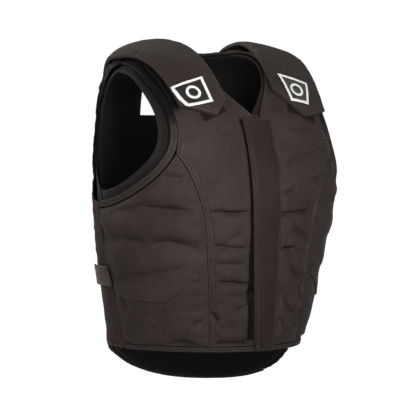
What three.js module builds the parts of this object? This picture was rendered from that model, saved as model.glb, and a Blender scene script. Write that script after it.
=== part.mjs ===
// Bull riding vest: a padded front-closing vest with shoulder straps, side gussets and a drop tail.
// Millimetres, +Z up, the front faces -Y, the wearer's left is +X.
// The origin is the shoulder seat, where the vest rests on its wearer.
import * as THREE from 'three';

// Driving dimensions
const seamGap = 1;              // clear space between two sewn pieces
const layerGap = 1.2;           // clear space between two layers
const shellLift = 2.6;          // inner face of the shell above the liner
const linerThickness = 4.6;     // inner foam liner
const padThickness = 11.5;      // padded shell at its fullest
const sewnThickness = 5;        // padded shell where it is sewn down
const padRoll = 16;             // width over which the padding rolls down to a seam
const bandThickness = 6;        // edge bands
const armholeBandWidth = 11;
const hemBandHeight = 9;
const frontHemDrop = 572;       // tape measure from the neck over the shoulder to the front hem
const zipWidth = 10;
const placketHalf = 26;         // reach of the front flap to each side of the centre
const closingShift = 5;         // the zip lies this far to the wearer's left
const placketThickness = 3;
const placketTopGap = 6;        // the flap starts this far below the neck
const placketRoll = 8;
const strapLift = 14.6;           // underside of a strap above the liner
const strapThickness = 7;
const strapRoll = 10;
const strapTaper = 20;          // a strap's outer edge runs in by this much on the back
const patchThickness = 1.4;
const loopThickness = 1.2;
const labelThickness = 1;
const gussetFront = 91;         // degrees round from the centre front
const gussetBack = 117;
const gussetLift = 4;
const gussetThickness = 2.4;
const gussetRibs = 4;
const gussetRibHeight = 1.3;
const linerReach = 14;          // the liner stands this far into the armholes
const linerNeckReach = 3;
const patternRadius = 190;      // turns an angle into a distance round the body

// Sections of the body from the shoulder down. drop is a tape measure from the neck over the shoulder.
// lean moves a section back, egg draws its front in and lets its back out, square fills its front corners.
const sections = [
  { drop: 0, z: -7, halfWidth: 40, front: 10, back: 12, lean: 27, egg: 0, square: 0 },
  { drop: 40, z: -9, halfWidth: 80, front: 28, back: 36, lean: 27, egg: 0, square: 0.02 },
  { drop: 75, z: -15, halfWidth: 115, front: 47, back: 61, lean: 25, egg: 0, square: 0.05 },
  { drop: 105, z: -24, halfWidth: 140, front: 65, back: 81, lean: 22, egg: 0, square: 0.09 },
  { drop: 130, z: -37, halfWidth: 157, front: 81, back: 96, lean: 18, egg: 0, square: 0.12 },
  { drop: 160, z: -60, halfWidth: 172, front: 96, back: 108, lean: 13, egg: 0, square: 0.15 },
  { drop: 195, z: -93, halfWidth: 184, front: 113, back: 115, lean: 7, egg: 0, square: 0.16 },
  { drop: 235, z: -134, halfWidth: 194, front: 131, back: 115, lean: 2, egg: 0, square: 0.16 },
  { drop: 285, z: -184, halfWidth: 198, front: 146, back: 110, lean: 0, egg: 0.01, square: 0.12 },
  { drop: 345, z: -245, halfWidth: 197, front: 154, back: 106, lean: 0, egg: 0.04, square: 0.06 },
  { drop: 425, z: -325, halfWidth: 185, front: 152, back: 115, lean: 0, egg: 0.09, square: 0.02 },
  { drop: 505, z: -405, halfWidth: 165, front: 148, back: 126, lean: 0, egg: 0.15, square: 0.01 },
  { drop: 590, z: -490, halfWidth: 149, front: 145, back: 130, lean: 0, egg: 0.2, square: 0 },
  { drop: 680, z: -580, halfWidth: 143, front: 144, back: 130, lean: 0, egg: 0.2, square: 0 },
];

// Edge of the neck opening, from the centre front round to the centre back
const neckline = [
  { angle: 0, drop: 213 },
  { angle: 8, drop: 192 },
  { angle: 15, drop: 165 },
  { angle: 22, drop: 128 },
  { angle: 33, drop: 85 },
  { angle: 53, drop: 46 },
  { angle: 90, drop: 30 },
  { angle: 120, drop: 38 },
  { angle: 150, drop: 55 },
  { angle: 180, drop: 64 },
];

// Edge of the shell round an armhole, from the shoulder down the front and up the back
const armholeRows = [
  { angle: 90, drop: 122 },
  { angle: 63, drop: 134 },
  { angle: 49.5, drop: 167 },
  { angle: 42.5, drop: 202 },
  { angle: 40.5, drop: 236 },
  { angle: 43.5, drop: 267 },
  { angle: 51.5, drop: 295 },
  { angle: 63.5, drop: 318 },
  { angle: 77, drop: 334 },
  { angle: 91, drop: 340 },
  { angle: 104, drop: 334 },
  { angle: 113, drop: 312 },
  { angle: 119, drop: 278 },
  { angle: 122, drop: 232 },
  { angle: 118, drop: 180 },
  { angle: 108, drop: 140 },
];

// Curved seam between the centre and side panels, from the hem up to the armhole
const princessRows = [
  { angle: 36.5, drop: 574 },
  { angle: 32.5, drop: 460 },
  { angle: 31, drop: 385 },
  { angle: 32, drop: 343 },
  { angle: 35, drop: 303 },
  { angle: 37, drop: 285 },
];

// Hem of the back, which drops to a rounded tail
const tailRows = [
  { angle: 84, drop: 572 },
  { angle: 98, drop: 605 },
  { angle: 112, drop: 627 },
  { angle: 131, drop: 643 },
  { angle: 153, drop: 647 },
  { angle: 178, drop: 640 },
  { angle: 202, drop: 619 },
  { angle: 224, drop: 590 },
  { angle: 246, drop: 572 },
];

// Folds: at is the drop of the fold, tilt its fall across the panel, from and to its reach across the panel
const centreFolds = [
  { at: 231, tilt: -2, depth: 2, spread: 9, from: 0, to: 1 },
  { at: 361, tilt: 3, depth: 4.5, spread: 8, from: -0.2, to: 0.9 },
  { at: 416, tilt: -4, depth: 4, spread: 9, from: -0.2, to: 1 },
  { at: 450, tilt: 0, depth: 3, spread: 8, from: -0.2, to: 0.9 },
  { at: 476, tilt: -3, depth: 4, spread: 8, from: -0.2, to: 0.9 },
  { at: 532, tilt: -26, depth: 3.5, spread: 10, from: 0.4, to: 1.2 },
];
const sideFolds = [
  { at: 308, tilt: 0, depth: 2.5, spread: 9, from: -0.2, to: 0.45 },
  { at: 358, tilt: 8, depth: 5, spread: 9, from: 0, to: 1 },
  { at: 409, tilt: -10, depth: 4, spread: 11, from: -0.2, to: 0.7 },
  { at: 404, tilt: -22, depth: 4, spread: 10, from: 0.5, to: 1.2 },
  { at: 465, tilt: 14, depth: 4.5, spread: 9, from: -0.2, to: 1.1 },
  { at: 545, tilt: -40, depth: 4, spread: 12, from: 0, to: 0.7 },
];

// Strap ends on the chest, as distances from the centre line and drops
const strapEnds = {
  right: { neckX: 74, innerX: 51, innerDrop: 197, tipX: 76, tipDrop: 222, outerX: 128, outerDrop: 208 },
  left: { neckX: 68, innerX: 44, innerDrop: 180, tipX: 88, tipDrop: 222, outerX: 132, outerDrop: 214 },
};
const strapArmX = 152;
const strapBackDrop = 150;

// Corners of the patches near the strap ends
const badgeCorners = {
  right: {
    lowInner: { angle: 22, drop: 205 },
    lowOuter: { angle: 34, drop: 213 },
    highInner: { angle: 24.5, drop: 163 },
    highOuter: { angle: 40.5, drop: 181 },
  },
  left: {
    lowInner: { angle: 19.5, drop: 201 },
    lowOuter: { angle: 28, drop: 208 },
    highInner: { angle: 19.5, drop: 154 },
    highOuter: { angle: 34.5, drop: 172 },
  },
};

// Waist tab on a side panel: its stitched lower edge and its upper edge, from the side to the curved seam
const waistTabLow = [
  { angle: 88, drop: 476 },
  { angle: 80, drop: 486 },
  { angle: 74, drop: 490 },
  { angle: 56, drop: 493 },
  { angle: 49.5, drop: 478 },
  { angle: 42.5, drop: 462 },
  { angle: 37, drop: 458 },
];
const waistTabHigh = [
  { angle: 88, drop: 462 },
  { angle: 68, drop: 455 },
  { angle: 59, drop: 452 },
  { angle: 47, drop: 443 },
  { angle: 37, drop: 435 },
];

const materials = {
  shell: { color: 0x3f3734, roughness: 0.82, metalness: 0 },
  placket: { color: 0x352d2a, roughness: 0.78, metalness: 0 },
  gusset: { color: 0x342c28, roughness: 0.85, metalness: 0 },
  webbing: { color: 0x564e48, roughness: 0.7, metalness: 0 },
  liner: { color: 0x16150f, roughness: 0.9, metalness: 0 },
  edge: { color: 0x39322f, roughness: 0.8, metalness: 0 },
  loop: { color: 0x1d1a19, roughness: 0.95, metalness: 0 },
  badge: { color: 0xd8d4d0, roughness: 0.6, metalness: 0 },
  label: { color: 0xe4e0dc, roughness: 0.7, metalness: 0 },
  zip: { color: 0x201c1a, roughness: 0.5, metalness: 0 },
};

const radians = THREE.MathUtils.degToRad;
const degrees = THREE.MathUtils.radToDeg;
const clamp = THREE.MathUtils.clamp;
const lerp = THREE.MathUtils.lerp;

// A smooth curve through one column of a table
function readTable(table, key, column, at) {
  const last = table.length - 1;
  let row = table.findIndex((entry) => entry[key] > at) - 1;
  if (row === -2) row = last - 1;
  row = clamp(row, 0, last - 1);
  const slope = (index) => {
    const low = table[Math.max(index - 1, 0)];
    const high = table[Math.min(index + 1, last)];
    return (high[column] - low[column]) / (high[key] - low[key]);
  };
  const start = table[row];
  const end = table[row + 1];
  const span = end[key] - start[key];
  const t = (at - start[key]) / span;
  const t2 = t * t;
  const t3 = t2 * t;
  return start[column] * (2 * t3 - 3 * t2 + 1) + slope(row) * span * (t3 - 2 * t2 + t)
    + end[column] * (3 * t2 - 2 * t3) + slope(row + 1) * span * (t3 - t2);
}

// A point of the body surface, which is the outer face of the liner
function bodySurface(angle, drop) {
  const turn = radians(angle);
  const section = (column) => readTable(sections, 'drop', column, drop);
  const facesFront = Math.cos(turn) > 0;
  const depth = facesFront ? section('front') : section('back');
  const fill = facesFront ? 1 + section('square') * Math.sin(2 * turn) ** 2 : 1;
  const x = section('halfWidth') * Math.sin(turn) * (1 - section('egg') * Math.cos(turn));
  return new THREE.Vector3(x * fill, section('lean') - depth * Math.cos(turn) * fill, section('z'));
}

// The same point moved out from the body by a lift
function onBody(angle, drop, lift) {
  const step = 0.5;
  const around = bodySurface(angle + step, drop).sub(bodySurface(angle - step, drop));
  const down = bodySurface(angle, drop + step).sub(bodySurface(angle, drop - step));
  const outward = down.cross(around).normalize();
  return bodySurface(angle, drop).addScaledVector(outward, lift);
}

// The flat pattern: distance round from the centre front, and drop
const toPattern = (angle, drop) => new THREE.Vector2(radians(angle) * patternRadius, drop);
const fromPattern = (point, lift) => onBody(degrees(point.x / patternRadius), point.y, lift);
const wrapAngle = (angle) => Math.abs(((angle + 180) % 360 + 360) % 360 - 180);
const neckDrop = (angle) => readTable(neckline, 'angle', 'drop', wrapAngle(angle));

// A closed wall between an inner and an outer face over a grid of u and v in 0 to 1
function wall(across, up, place) {
  const columns = across.length;
  const count = columns * up.length;
  const points = [];
  for (const side of ['outer', 'inner']) {
    for (const v of up) {
      for (const u of across) points.push(place(u, v)[side]);
    }
  }
  const index = [];
  const quad = (a, b, c, d) => index.push(a, b, c, a, c, d);
  for (let row = 0; row < up.length - 1; row += 1) {
    for (let column = 0; column < columns - 1; column += 1) {
      const a = row * columns + column;
      quad(a, a + 1, a + columns + 1, a + columns);
      quad(count + a, count + a + columns, count + a + columns + 1, count + a + 1);
    }
  }
  const rim = [];
  for (let column = 0; column < columns - 1; column += 1) rim.push(column);
  for (let row = 0; row < up.length - 1; row += 1) rim.push(row * columns + columns - 1);
  for (let column = columns - 1; column > 0; column -= 1) rim.push((up.length - 1) * columns + column);
  for (let row = up.length - 1; row > 0; row -= 1) rim.push(row * columns);
  rim.forEach((a, step) => {
    const b = rim[(step + 1) % rim.length];
    quad(a, count + a, count + b, b);
  });
  const geometry = new THREE.BufferGeometry().setFromPoints(points);
  geometry.setIndex(signedVolume(points, index) > 0 ? index : index.reverse());
  geometry.computeVertexNormals();
  return geometry;
}

function signedVolume(points, index) {
  let volume = 0;
  for (let i = 0; i < index.length; i += 3) {
    const [a, b, c] = [points[index[i]], points[index[i + 1]], points[index[i + 2]]];
    volume += a.dot(b.clone().cross(c)) / 6;
  }
  return volume;
}

// Grid lines in 0 to 1 with a narrow cell at each end, where the padding rolls down
function gridLines(cells, endCell) {
  const inside = cells - 2;
  const lines = [0];
  for (let i = 0; i <= inside; i += 1) lines.push(lerp(endCell, 1 - endCell, i / inside));
  lines.push(1);
  return lines;
}
const evenLines = (cells) => Array.from({ length: cells + 1 }, (_, i) => i / cells);

// An edge of a panel in the flat pattern, read at even steps of its length
function edge(points) {
  const path = new THREE.CurvePath();
  for (let i = 0; i < points.length - 1; i += 1) path.add(new THREE.LineCurve(points[i], points[i + 1]));
  return (t) => path.getPointAt(clamp(t, 0, 1));
}

// A patch of the flat pattern spanned by four edges
function patch(bottom, top, left, right) {
  const corner = [bottom(0), bottom(1), top(0), top(1)];
  return (u, v) => {
    const point = bottom(u).multiplyScalar(1 - v).addScaledVector(top(u), v);
    point.addScaledVector(left(v), 1 - u).addScaledVector(right(v), u);
    point.addScaledVector(corner[0], -(1 - u) * (1 - v)).addScaledVector(corner[1], -u * (1 - v));
    return point.addScaledVector(corner[2], -(1 - u) * v).addScaledVector(corner[3], -u * v);
  };
}

// The armhole as a closed loop in the flat pattern, moved outwards by a margin
function armholePoint(mirror, t, margin) {
  const loop = armholeLoops[mirror];
  const at = loop.getPoint(((t % 1) + 1) % 1);
  const along = loop.getTangent(((t % 1) + 1) % 1);
  const out = new THREE.Vector2(along.y, -along.x).multiplyScalar(-mirror);
  return new THREE.Vector2(at.x, at.y).addScaledVector(out, margin);
}
const armholeLoops = {};
for (const mirror of [-1, 1]) {
  const points = armholeRows.map((row) => {
    const flat = toPattern(mirror * row.angle, row.drop);
    return new THREE.Vector3(flat.x, flat.y, 0);
  });
  armholeLoops[mirror] = new THREE.CatmullRomCurve3(points, true, 'catmullrom', 0.5);
}
const armholeStep = 1 / armholeRows.length;
function armholeEdge(mirror, fromRow, toRow, margin, steps = 24) {
  return evenLines(steps).map((t) => armholePoint(mirror, lerp(fromRow, toRow, t) * armholeStep, margin));
}

// Height of the padding at a distance from the sewn edge
function roll(distance, width = padRoll) {
  const reach = 1 - clamp(distance / width, 0, 1);
  return Math.sqrt(1 - reach * reach);
}

// How far a table of folds presses the padding in
function foldDepth(folds, u, drop) {
  let depth = 0;
  for (const fold of folds) {
    const away = (drop - fold.at - fold.tilt * (u - 0.5)) / fold.spread;
    const middle = (fold.from + fold.to) / 2;
    const reach = (fold.to - fold.from) / 2;
    const fade = clamp(1.6 * (1 - Math.abs(u - middle) / reach), 0, 1);
    depth += fold.depth * fade * Math.exp(-away * away);
  }
  return depth;
}

const group = new THREE.Group();
function addPiece(name, finish, geometry) {
  const piece = new THREE.Mesh(geometry, new THREE.MeshStandardMaterial(materials[finish]));
  piece.name = name;
  group.add(piece);
}

// A layer laid on the body over a shape of the flat pattern, inset by half the seam gap
function layer(shape, across, up, lowLift, highLift, gap = seamGap) {
  const insetU = gap / 2 / shape(0, 0.5).distanceTo(shape(1, 0.5));
  const insetV = gap / 2 / shape(0.5, 0).distanceTo(shape(0.5, 1));
  return wall(across, up, (u, v) => {
    const point = shape(lerp(insetU, 1 - insetU, u), lerp(insetV, 1 - insetV, v));
    const low = typeof lowLift === 'function' ? lowLift(u, v, point) : lowLift;
    const high = typeof highLift === 'function' ? highLift(u, v, point) : highLift;
    return { inner: fromPattern(point, low), outer: fromPattern(point, high) };
  });
}

// Outer face of a padded panel: rolled down to its seams, flat beside its first edge, pressed in by its folds
function padding(shape, folds, flat = 0) {
  return (u, v, point) => {
    const across = roll(point.distanceTo(shape(0, v)) - flat) * roll(point.distanceTo(shape(1, v)));
    const fullness = across * roll(point.distanceTo(shape(u, 0))) * roll(point.distanceTo(shape(u, 1)));
    const lift = lerp(sewnThickness, padThickness, fullness);
    return Math.max(lift - foldDepth(folds, u, point.y), sewnThickness - 1);
  };
}

// An edge made of stretches, each of which ends at a share of the whole
function partedEdge(parts, shares) {
  const stretches = parts.map((points) => edge(points));
  return (t) => {
    const part = Math.min(shares.findIndex((share) => t <= share + 1e-9), parts.length - 1);
    const start = part > 0 ? shares[part - 1] : 0;
    return stretches[part]((t - start) / (shares[part] - start));
  };
}
function partedLines(cells, shares) {
  const lines = [0];
  cells.forEach((count, part) => {
    const start = part > 0 ? shares[part - 1] : 0;
    for (let i = 1; i <= count; i += 1) lines.push(lerp(start, shares[part], i / count));
  });
  return lines;
}
const straight = (a, b) => edge([a, b]);

const sides = { right: -1, left: 1 };
const hemTop = frontHemDrop - hemBandHeight;
const armholeInset = armholeBandWidth + 1.5 * seamGap;
const princessTop = 4.9;        // row of the armhole table where the curved seam ends
const sideSeamRow = 9;          // row of the armhole table at the side seam
const linerSideRow = 8.93;      // row of the armhole table where the front and back liner meet
const gussetBackRow = 11.5;     // row of the armhole table at the back seam of the gusset
const frontShares = [0.66, 1];  // shares of a front panel below and above the neck
const linerShares = [0.42, 0.64, 1];  // the same for the liner, with a stretch below the chest
const backShares = [0.5, 1];    // shares of the back below and above the armpit
const shoulderShares = [0.25, 0.75, 1];
const neckSteps = 24;

function neckEdge(mirror, fromAngle, toAngle, lower) {
  return evenLines(neckSteps).map((t) => {
    const angle = lerp(fromAngle, toAngle, t);
    return toPattern(mirror * angle, neckDrop(angle) + lower);
  });
}
function princessSeam(mirror) {
  const rows = princessRows.map((row) => toPattern(mirror * row.angle, Math.min(row.drop, hemTop)));
  const end = armholePoint(mirror, princessTop * armholeStep, armholeInset);
  return new THREE.SplineCurve([...rows, end]).getPoints(40);
}

function frontCentre(name, mirror) {
  const closing = closingShift + mirror * (zipWidth / 2 + seamGap / 2);
  const closingAngle = degrees(Math.abs(closing) / patternRadius);
  const neckStart = new THREE.Vector2(closing, neckline[0].drop);
  const left = partedEdge(
    [[new THREE.Vector2(closing, hemTop), neckStart],
      [neckStart, ...neckEdge(mirror, closingAngle + 1, 90, 0)]], frontShares);
  const right = partedEdge(
    [princessSeam(mirror), armholeEdge(mirror, princessTop, 0, armholeInset)], frontShares);
  const shape = patch(straight(left(0), right(0)), straight(left(1), right(1)), left, right);
  const lift = padding(shape, centreFolds, placketHalf - mirror * closingShift + 2 * seamGap);
  const rows = partedLines([20, 8], frontShares);
  addPiece(name, 'shell', layer(shape, gridLines(7, 0.08), rows, shellLift, lift));
}

function frontSide(name, mirror) {
  const seam = princessSeam(mirror);
  const sideTop = armholePoint(mirror, sideSeamRow * armholeStep, armholeInset);
  const sideLow = toPattern(mirror * gussetFront, hemTop);
  const top = edge(armholeEdge(mirror, princessTop, sideSeamRow, armholeInset));
  const shape = patch(straight(seam[0], sideLow), top, edge(seam), straight(sideLow, sideTop));
  const lift = padding(shape, sideFolds);
  addPiece(name, 'shell', layer(shape, gridLines(8, 0.07), gridLines(18, 0.03), shellLift, lift));
}

function armholeBand(name, mirror) {
  const row = (u) => lerp(0.02, sideSeamRow, u);
  const shape = (u, v) => armholePoint(mirror, row(u) * armholeStep, v * armholeBandWidth);
  addPiece(name, 'edge', layer(shape, evenLines(28), evenLines(2), layerGap, bandThickness));
}

function hemBand(name, mirror) {
  const low = closingShift + mirror * (zipWidth / 2 + seamGap / 2);
  const far = toPattern(mirror * gussetFront, 0).x;
  const shape = (u, v) => new THREE.Vector2(lerp(low, far, u), frontHemDrop - v * hemBandHeight);
  addPiece(name, 'edge', layer(shape, evenLines(14), evenLines(2), layerGap, bandThickness));
}

function zip() {
  const reach = zipWidth / 2;
  const shape = (u, v) => new THREE.Vector2(
    closingShift + lerp(-reach, reach, u), lerp(frontHemDrop, neckline[0].drop, v));
  addPiece('zip', 'zip', layer(shape, evenLines(2), evenLines(12), layerGap, sewnThickness - 0.5));
}

function placket() {
  const topDrop = neckline[0].drop + placketTopGap;
  const shape = (u, v) => new THREE.Vector2(
    lerp(-placketHalf, placketHalf, u), lerp(frontHemDrop, topDrop, v));
  const low = sewnThickness + 1.5 * layerGap;
  const high = (u) => {
    const fullness = roll(Math.min(u, 1 - u) * 2 * placketHalf, placketRoll);
    return low + placketThickness * lerp(0.6, 1, fullness);
  };
  addPiece('placket', 'placket', layer(shape, gridLines(4, 0.1), evenLines(22), low, high));
}

function sideGusset(name, mirror) {
  const top = edge(armholeEdge(mirror, sideSeamRow, gussetBackRow, seamGap));
  const low = edge(evenLines(12).map((t) => {
    const angle = lerp(gussetFront, gussetBack, t);
    return toPattern(mirror * angle, tailEdge(mirror > 0 ? angle : 360 - angle));
  }));
  const shape = patch(low, top, straight(low(0), top(0)), straight(low(1), top(1)));
  const gathered = (u, v) => {
    const height = gussetRibHeight * Math.max(1 - 5 * Math.min(v, 1 - v), 0.25);
    return height * Math.sin(2 * Math.PI * gussetRibs * u);
  };
  addPiece(name, 'gusset', layer(shape, evenLines(3 * gussetRibs), evenLines(7),
    (u, v) => gussetLift + gathered(u, v),
    (u, v) => gussetLift + gussetThickness + gathered(u, v), 4 * seamGap));
}

function sideKeeper(name, mirror) {
  const keeper = { front: 89, back: 113, top: 440, low: 472, lift: 9, thickness: 2.6 };
  const angle = (u) => lerp(keeper.front, keeper.back, u);
  const shape = (u, v) => toPattern(mirror * angle(u), lerp(keeper.low, keeper.top, v));
  const high = keeper.lift + keeper.thickness;
  addPiece(name, 'webbing', layer(shape, evenLines(6), evenLines(3), keeper.lift, high));
}

function waistTabPiece(name, mirror) {
  const row = (entry) => toPattern(mirror * entry.angle, entry.drop);
  const low = edge(waistTabLow.map(row));
  const high = edge(waistTabHigh.map(row));
  const shape = patch(low, high, straight(low(0), high(0)), straight(low(1), high(1)));
  const lift = padThickness + layerGap;
  addPiece(name, 'shell', layer(shape, evenLines(10), evenLines(2), lift, lift + patchThickness));
}

function tailEdge(angle) {
  const [first, last] = [tailRows[0].angle, tailRows[tailRows.length - 1].angle];
  return readTable(tailRows, 'angle', 'drop', clamp(angle, first, last));
}

function backEdge(mirror, margin) {
  const turn = mirror > 0 ? 0 : 2 * Math.PI * patternRadius;
  return armholeEdge(mirror, gussetBackRow, armholeRows.length, margin)
    .map((point) => new THREE.Vector2(point.x + turn, point.y));
}

// Top edge of the back: up one shoulder, round the neck and down the other shoulder
function shoulderEdge(start, end, lower) {
  const neck = neckEdge(1, 90, 270, lower);
  return partedEdge([[start, neck[0]], neck, [neck[neckSteps], end]], shoulderShares);
}

function backPanel() {
  const bottom = edge(evenLines(40).map((t) => {
    const angle = lerp(gussetBack, 360 - gussetBack, t);
    return toPattern(angle, tailEdge(angle));
  }));
  const leftArm = backEdge(1, 0);
  const rightArm = backEdge(-1, 0);
  const left = partedEdge([[bottom(0), leftArm[0]], leftArm], backShares);
  const right = partedEdge([[bottom(1), rightArm[0]], rightArm], backShares);
  const shape = patch(bottom, shoulderEdge(left(1), right(1), 0), left, right);
  addPiece('back_panel', 'shell', layer(shape, partedLines([4, 8, 4], shoulderShares),
    partedLines([8, 8], backShares), shellLift, padding(shape, [])));
}

// The angle between two angles at which the body is a distance from the centre plane
function angleAt(x, drop, inner, outer) {
  let [low, high] = [inner, outer];
  for (let i = 0; i < 24; i += 1) {
    const middle = (low + high) / 2;
    if (bodySurface(middle, drop).x < x) low = middle;
    else high = middle;
  }
  return high;
}
const frontAngle = (x, drop) => angleAt(x, drop, 0, 90);
const backAngle = (x, drop) => angleAt(x, drop, 180, 90);
function ridgeDrop(x) {
  let drop = 0;
  while (bodySurface(90, drop).x < x) drop += 0.25;
  return drop;
}

// One long edge of a strap, from the chest over the shoulder to the back
function strapEdge(mirror, endX, endDrop, ridgeX, backX) {
  const ridge = ridgeDrop(ridgeX);
  const points = [];
  for (const t of evenLines(16)) {
    const drop = lerp(endDrop, ridge, 1 - (1 - t) * (1 - t));
    points.push(toPattern(mirror * frontAngle(lerp(endX, ridgeX, t), drop), drop));
  }
  for (const t of evenLines(12).slice(1)) {
    const drop = lerp(ridge, strapBackDrop, t * t);
    points.push(toPattern(mirror * backAngle(lerp(ridgeX, backX, t), drop), drop));
  }
  return points;
}

function strapShape(side) {
  const mirror = sides[side];
  const end = strapEnds[side];
  const spot = (x, drop) => toPattern(mirror * frontAngle(x, drop), drop);
  const inner = edge(strapEdge(mirror, end.innerX, end.innerDrop, end.neckX, end.neckX + 4));
  const outer = edge(strapEdge(mirror, end.outerX, end.outerDrop, strapArmX, strapArmX - strapTaper));
  const tip = spot(end.tipX, end.tipDrop);
  const low = [inner(0), tip, outer(0)];
  const tipShare = low[0].distanceTo(tip) / (low[0].distanceTo(tip) + tip.distanceTo(low[2]));
  return { shape: patch(edge(low), straight(inner(1), outer(1)), inner, outer), tipShare };
}

function strap(side) {
  const { shape, tipShare } = strapShape(side);
  const across = [0, 0.06, tipShare * 0.6, tipShare, lerp(tipShare, 1, 0.5), 0.94, 1];
  const high = (u, v, point) => {
    const fullness = roll(Math.min(point.distanceTo(shape(0, v)), point.distanceTo(shape(1, v))), strapRoll);
    return strapLift + lerp(0.55, 1, fullness) * strapThickness;
  };
  addPiece(`shoulder_strap_${side}`, 'shell', layer(shape, across, gridLines(16, 0.025), strapLift, high));
  const patchLift = strapLift + strapThickness + layerGap;
  const corner = (name) => {
    const { angle, drop } = badgeCorners[side][name];
    return toPattern(sides[side] * angle, drop);
  };
  const low = straight(corner('lowInner'), corner('lowOuter'));
  const top = straight(corner('highInner'), corner('highOuter'));
  const badge = patch(low, top, straight(low(0), top(0)), straight(low(1), top(1)));
  addPiece(`strap_badge_${side}`, 'badge',
    layer(badge, evenLines(5), evenLines(4), patchLift, patchLift + patchThickness));
}

function loopPatch(side) {
  const mirror = sides[side];
  const end = strapEnds[side];
  const spot = (x, drop) => toPattern(mirror * frontAngle(x, drop), drop);
  const low = straight(spot(end.tipX - 26, end.tipDrop - 11), spot(end.tipX + 20, end.tipDrop + 6));
  const high = straight(spot(end.tipX - 18, end.tipDrop - 45), spot(end.tipX + 28, end.tipDrop - 30));
  const shape = patch(low, high, straight(low(0), high(0)), straight(low(1), high(1)));
  const lift = padThickness + 0.4 * layerGap;
  addPiece(`loop_patch_${side}`, 'loop',
    layer(shape, evenLines(4), evenLines(4), lift, lift + loopThickness));
}

function linerFront(name, mirror) {
  const closing = mirror * seamGap / 2;
  const sideLow = toPattern(mirror * 90, frontHemDrop);
  const chest = new THREE.Vector2(closing, armholeRows[sideSeamRow].drop);
  const neckStart = new THREE.Vector2(closing, neckline[0].drop - linerNeckReach);
  const under = armholeEdge(mirror, linerSideRow, princessTop, -linerReach);
  const over = armholeEdge(mirror, princessTop, 0, -linerReach);
  const left = partedEdge(
    [[new THREE.Vector2(closing, frontHemDrop), chest], [chest, neckStart],
      [neckStart, ...neckEdge(mirror, 1, 90, -linerNeckReach)]], linerShares);
  const right = partedEdge([[sideLow, under[0]], under, over], linerShares);
  const shape = patch(straight(left(0), right(0)), straight(left(1), right(1)), left, right);
  const rows = partedLines([5, 6, 7], linerShares);
  addPiece(name, 'liner', layer(shape, gridLines(8, 0.05), rows, -linerThickness, 0));
}

function linerBack() {
  const turn = 2 * Math.PI * patternRadius;
  const flip = (point) => new THREE.Vector2(point.x + turn, point.y);
  const rows = [linerSideRow, armholeRows.length];
  const bottom = edge(evenLines(60).map((t) => {
    const angle = lerp(90, 270, t);
    return toPattern(angle, tailEdge(angle) - seamGap);
  }));
  const leftArm = armholeEdge(1, ...rows, -linerReach);
  const rightArm = armholeEdge(-1, ...rows, -linerReach).map(flip);
  const left = partedEdge([[bottom(0), leftArm[0]], leftArm], backShares);
  const right = partedEdge([[bottom(1), rightArm[0]], rightArm], backShares);
  const shape = patch(bottom, shoulderEdge(left(1), right(1), -linerNeckReach), left, right);
  addPiece('liner_back', 'liner', layer(shape, partedLines([4, 8, 4], shoulderShares),
    partedLines([6, 9], backShares), -linerThickness, 0, 3 * seamGap));
}

function careLabel() {
  const label = { from: 184, to: 202, top: 164, low: 210, lift: -linerThickness - 4 * layerGap };
  const shape = (u, v) => toPattern(lerp(label.from, label.to, u), lerp(label.low, label.top, v));
  addPiece('care_label', 'label',
    layer(shape, evenLines(4), evenLines(4), label.lift - labelThickness, label.lift));
}

for (const [side, mirror] of Object.entries(sides)) {
  frontCentre(`front_centre_${side}`, mirror);
  frontSide(`front_side_${side}`, mirror);
  armholeBand(`armhole_band_${side}`, mirror);
  hemBand(`hem_band_${side}`, mirror);
  sideGusset(`side_gusset_${side}`, mirror);
  sideKeeper(`side_keeper_${side}`, mirror);
  waistTabPiece(`waist_tab_${side}`, mirror);
  strap(side);
  loopPatch(side);
  linerFront(`liner_front_${side}`, mirror);
}
zip();
placket();
backPanel();
linerBack();
careLabel();

export default group;
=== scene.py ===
import math
import bmesh
import bpy
import numpy as np
from functools import partial
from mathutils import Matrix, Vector, noise
from mathutils.bvhtree import BVHTree
from mathutils.kdtree import KDTree


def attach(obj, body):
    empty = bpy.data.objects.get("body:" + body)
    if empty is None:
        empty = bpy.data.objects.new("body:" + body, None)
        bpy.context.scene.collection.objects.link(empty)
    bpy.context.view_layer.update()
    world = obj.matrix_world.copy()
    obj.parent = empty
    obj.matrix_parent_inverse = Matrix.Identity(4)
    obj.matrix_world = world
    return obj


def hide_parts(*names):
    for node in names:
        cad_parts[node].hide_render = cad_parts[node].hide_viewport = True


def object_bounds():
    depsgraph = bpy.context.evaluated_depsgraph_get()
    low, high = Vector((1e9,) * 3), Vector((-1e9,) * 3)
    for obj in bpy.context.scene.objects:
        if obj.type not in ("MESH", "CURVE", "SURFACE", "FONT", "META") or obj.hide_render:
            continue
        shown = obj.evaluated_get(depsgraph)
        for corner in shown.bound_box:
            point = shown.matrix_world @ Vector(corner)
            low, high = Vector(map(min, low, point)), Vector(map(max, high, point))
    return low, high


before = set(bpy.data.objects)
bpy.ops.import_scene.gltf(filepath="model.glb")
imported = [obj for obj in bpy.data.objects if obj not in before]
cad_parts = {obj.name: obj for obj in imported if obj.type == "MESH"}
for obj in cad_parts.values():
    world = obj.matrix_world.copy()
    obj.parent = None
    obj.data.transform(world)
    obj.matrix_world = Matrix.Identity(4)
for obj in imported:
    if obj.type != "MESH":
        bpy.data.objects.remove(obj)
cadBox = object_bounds()

mm = 0.001
scene = bpy.context.scene
sides = ("right", "left")  # of the wearer
whole = 0.999  # a mark that is still full after subdivision
print("frame loaded:", len(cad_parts), "nodes")


# Camera at the angle of the photograph
photoView = {"azimuth": -33, "elevation": 2, "distance": 3.0, "aimZ": -259.4, "mmPerPixel": 1.6,
             "pixels": 420}


def deselectAll():
    bpy.ops.object.select_all(action="DESELECT")


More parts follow.
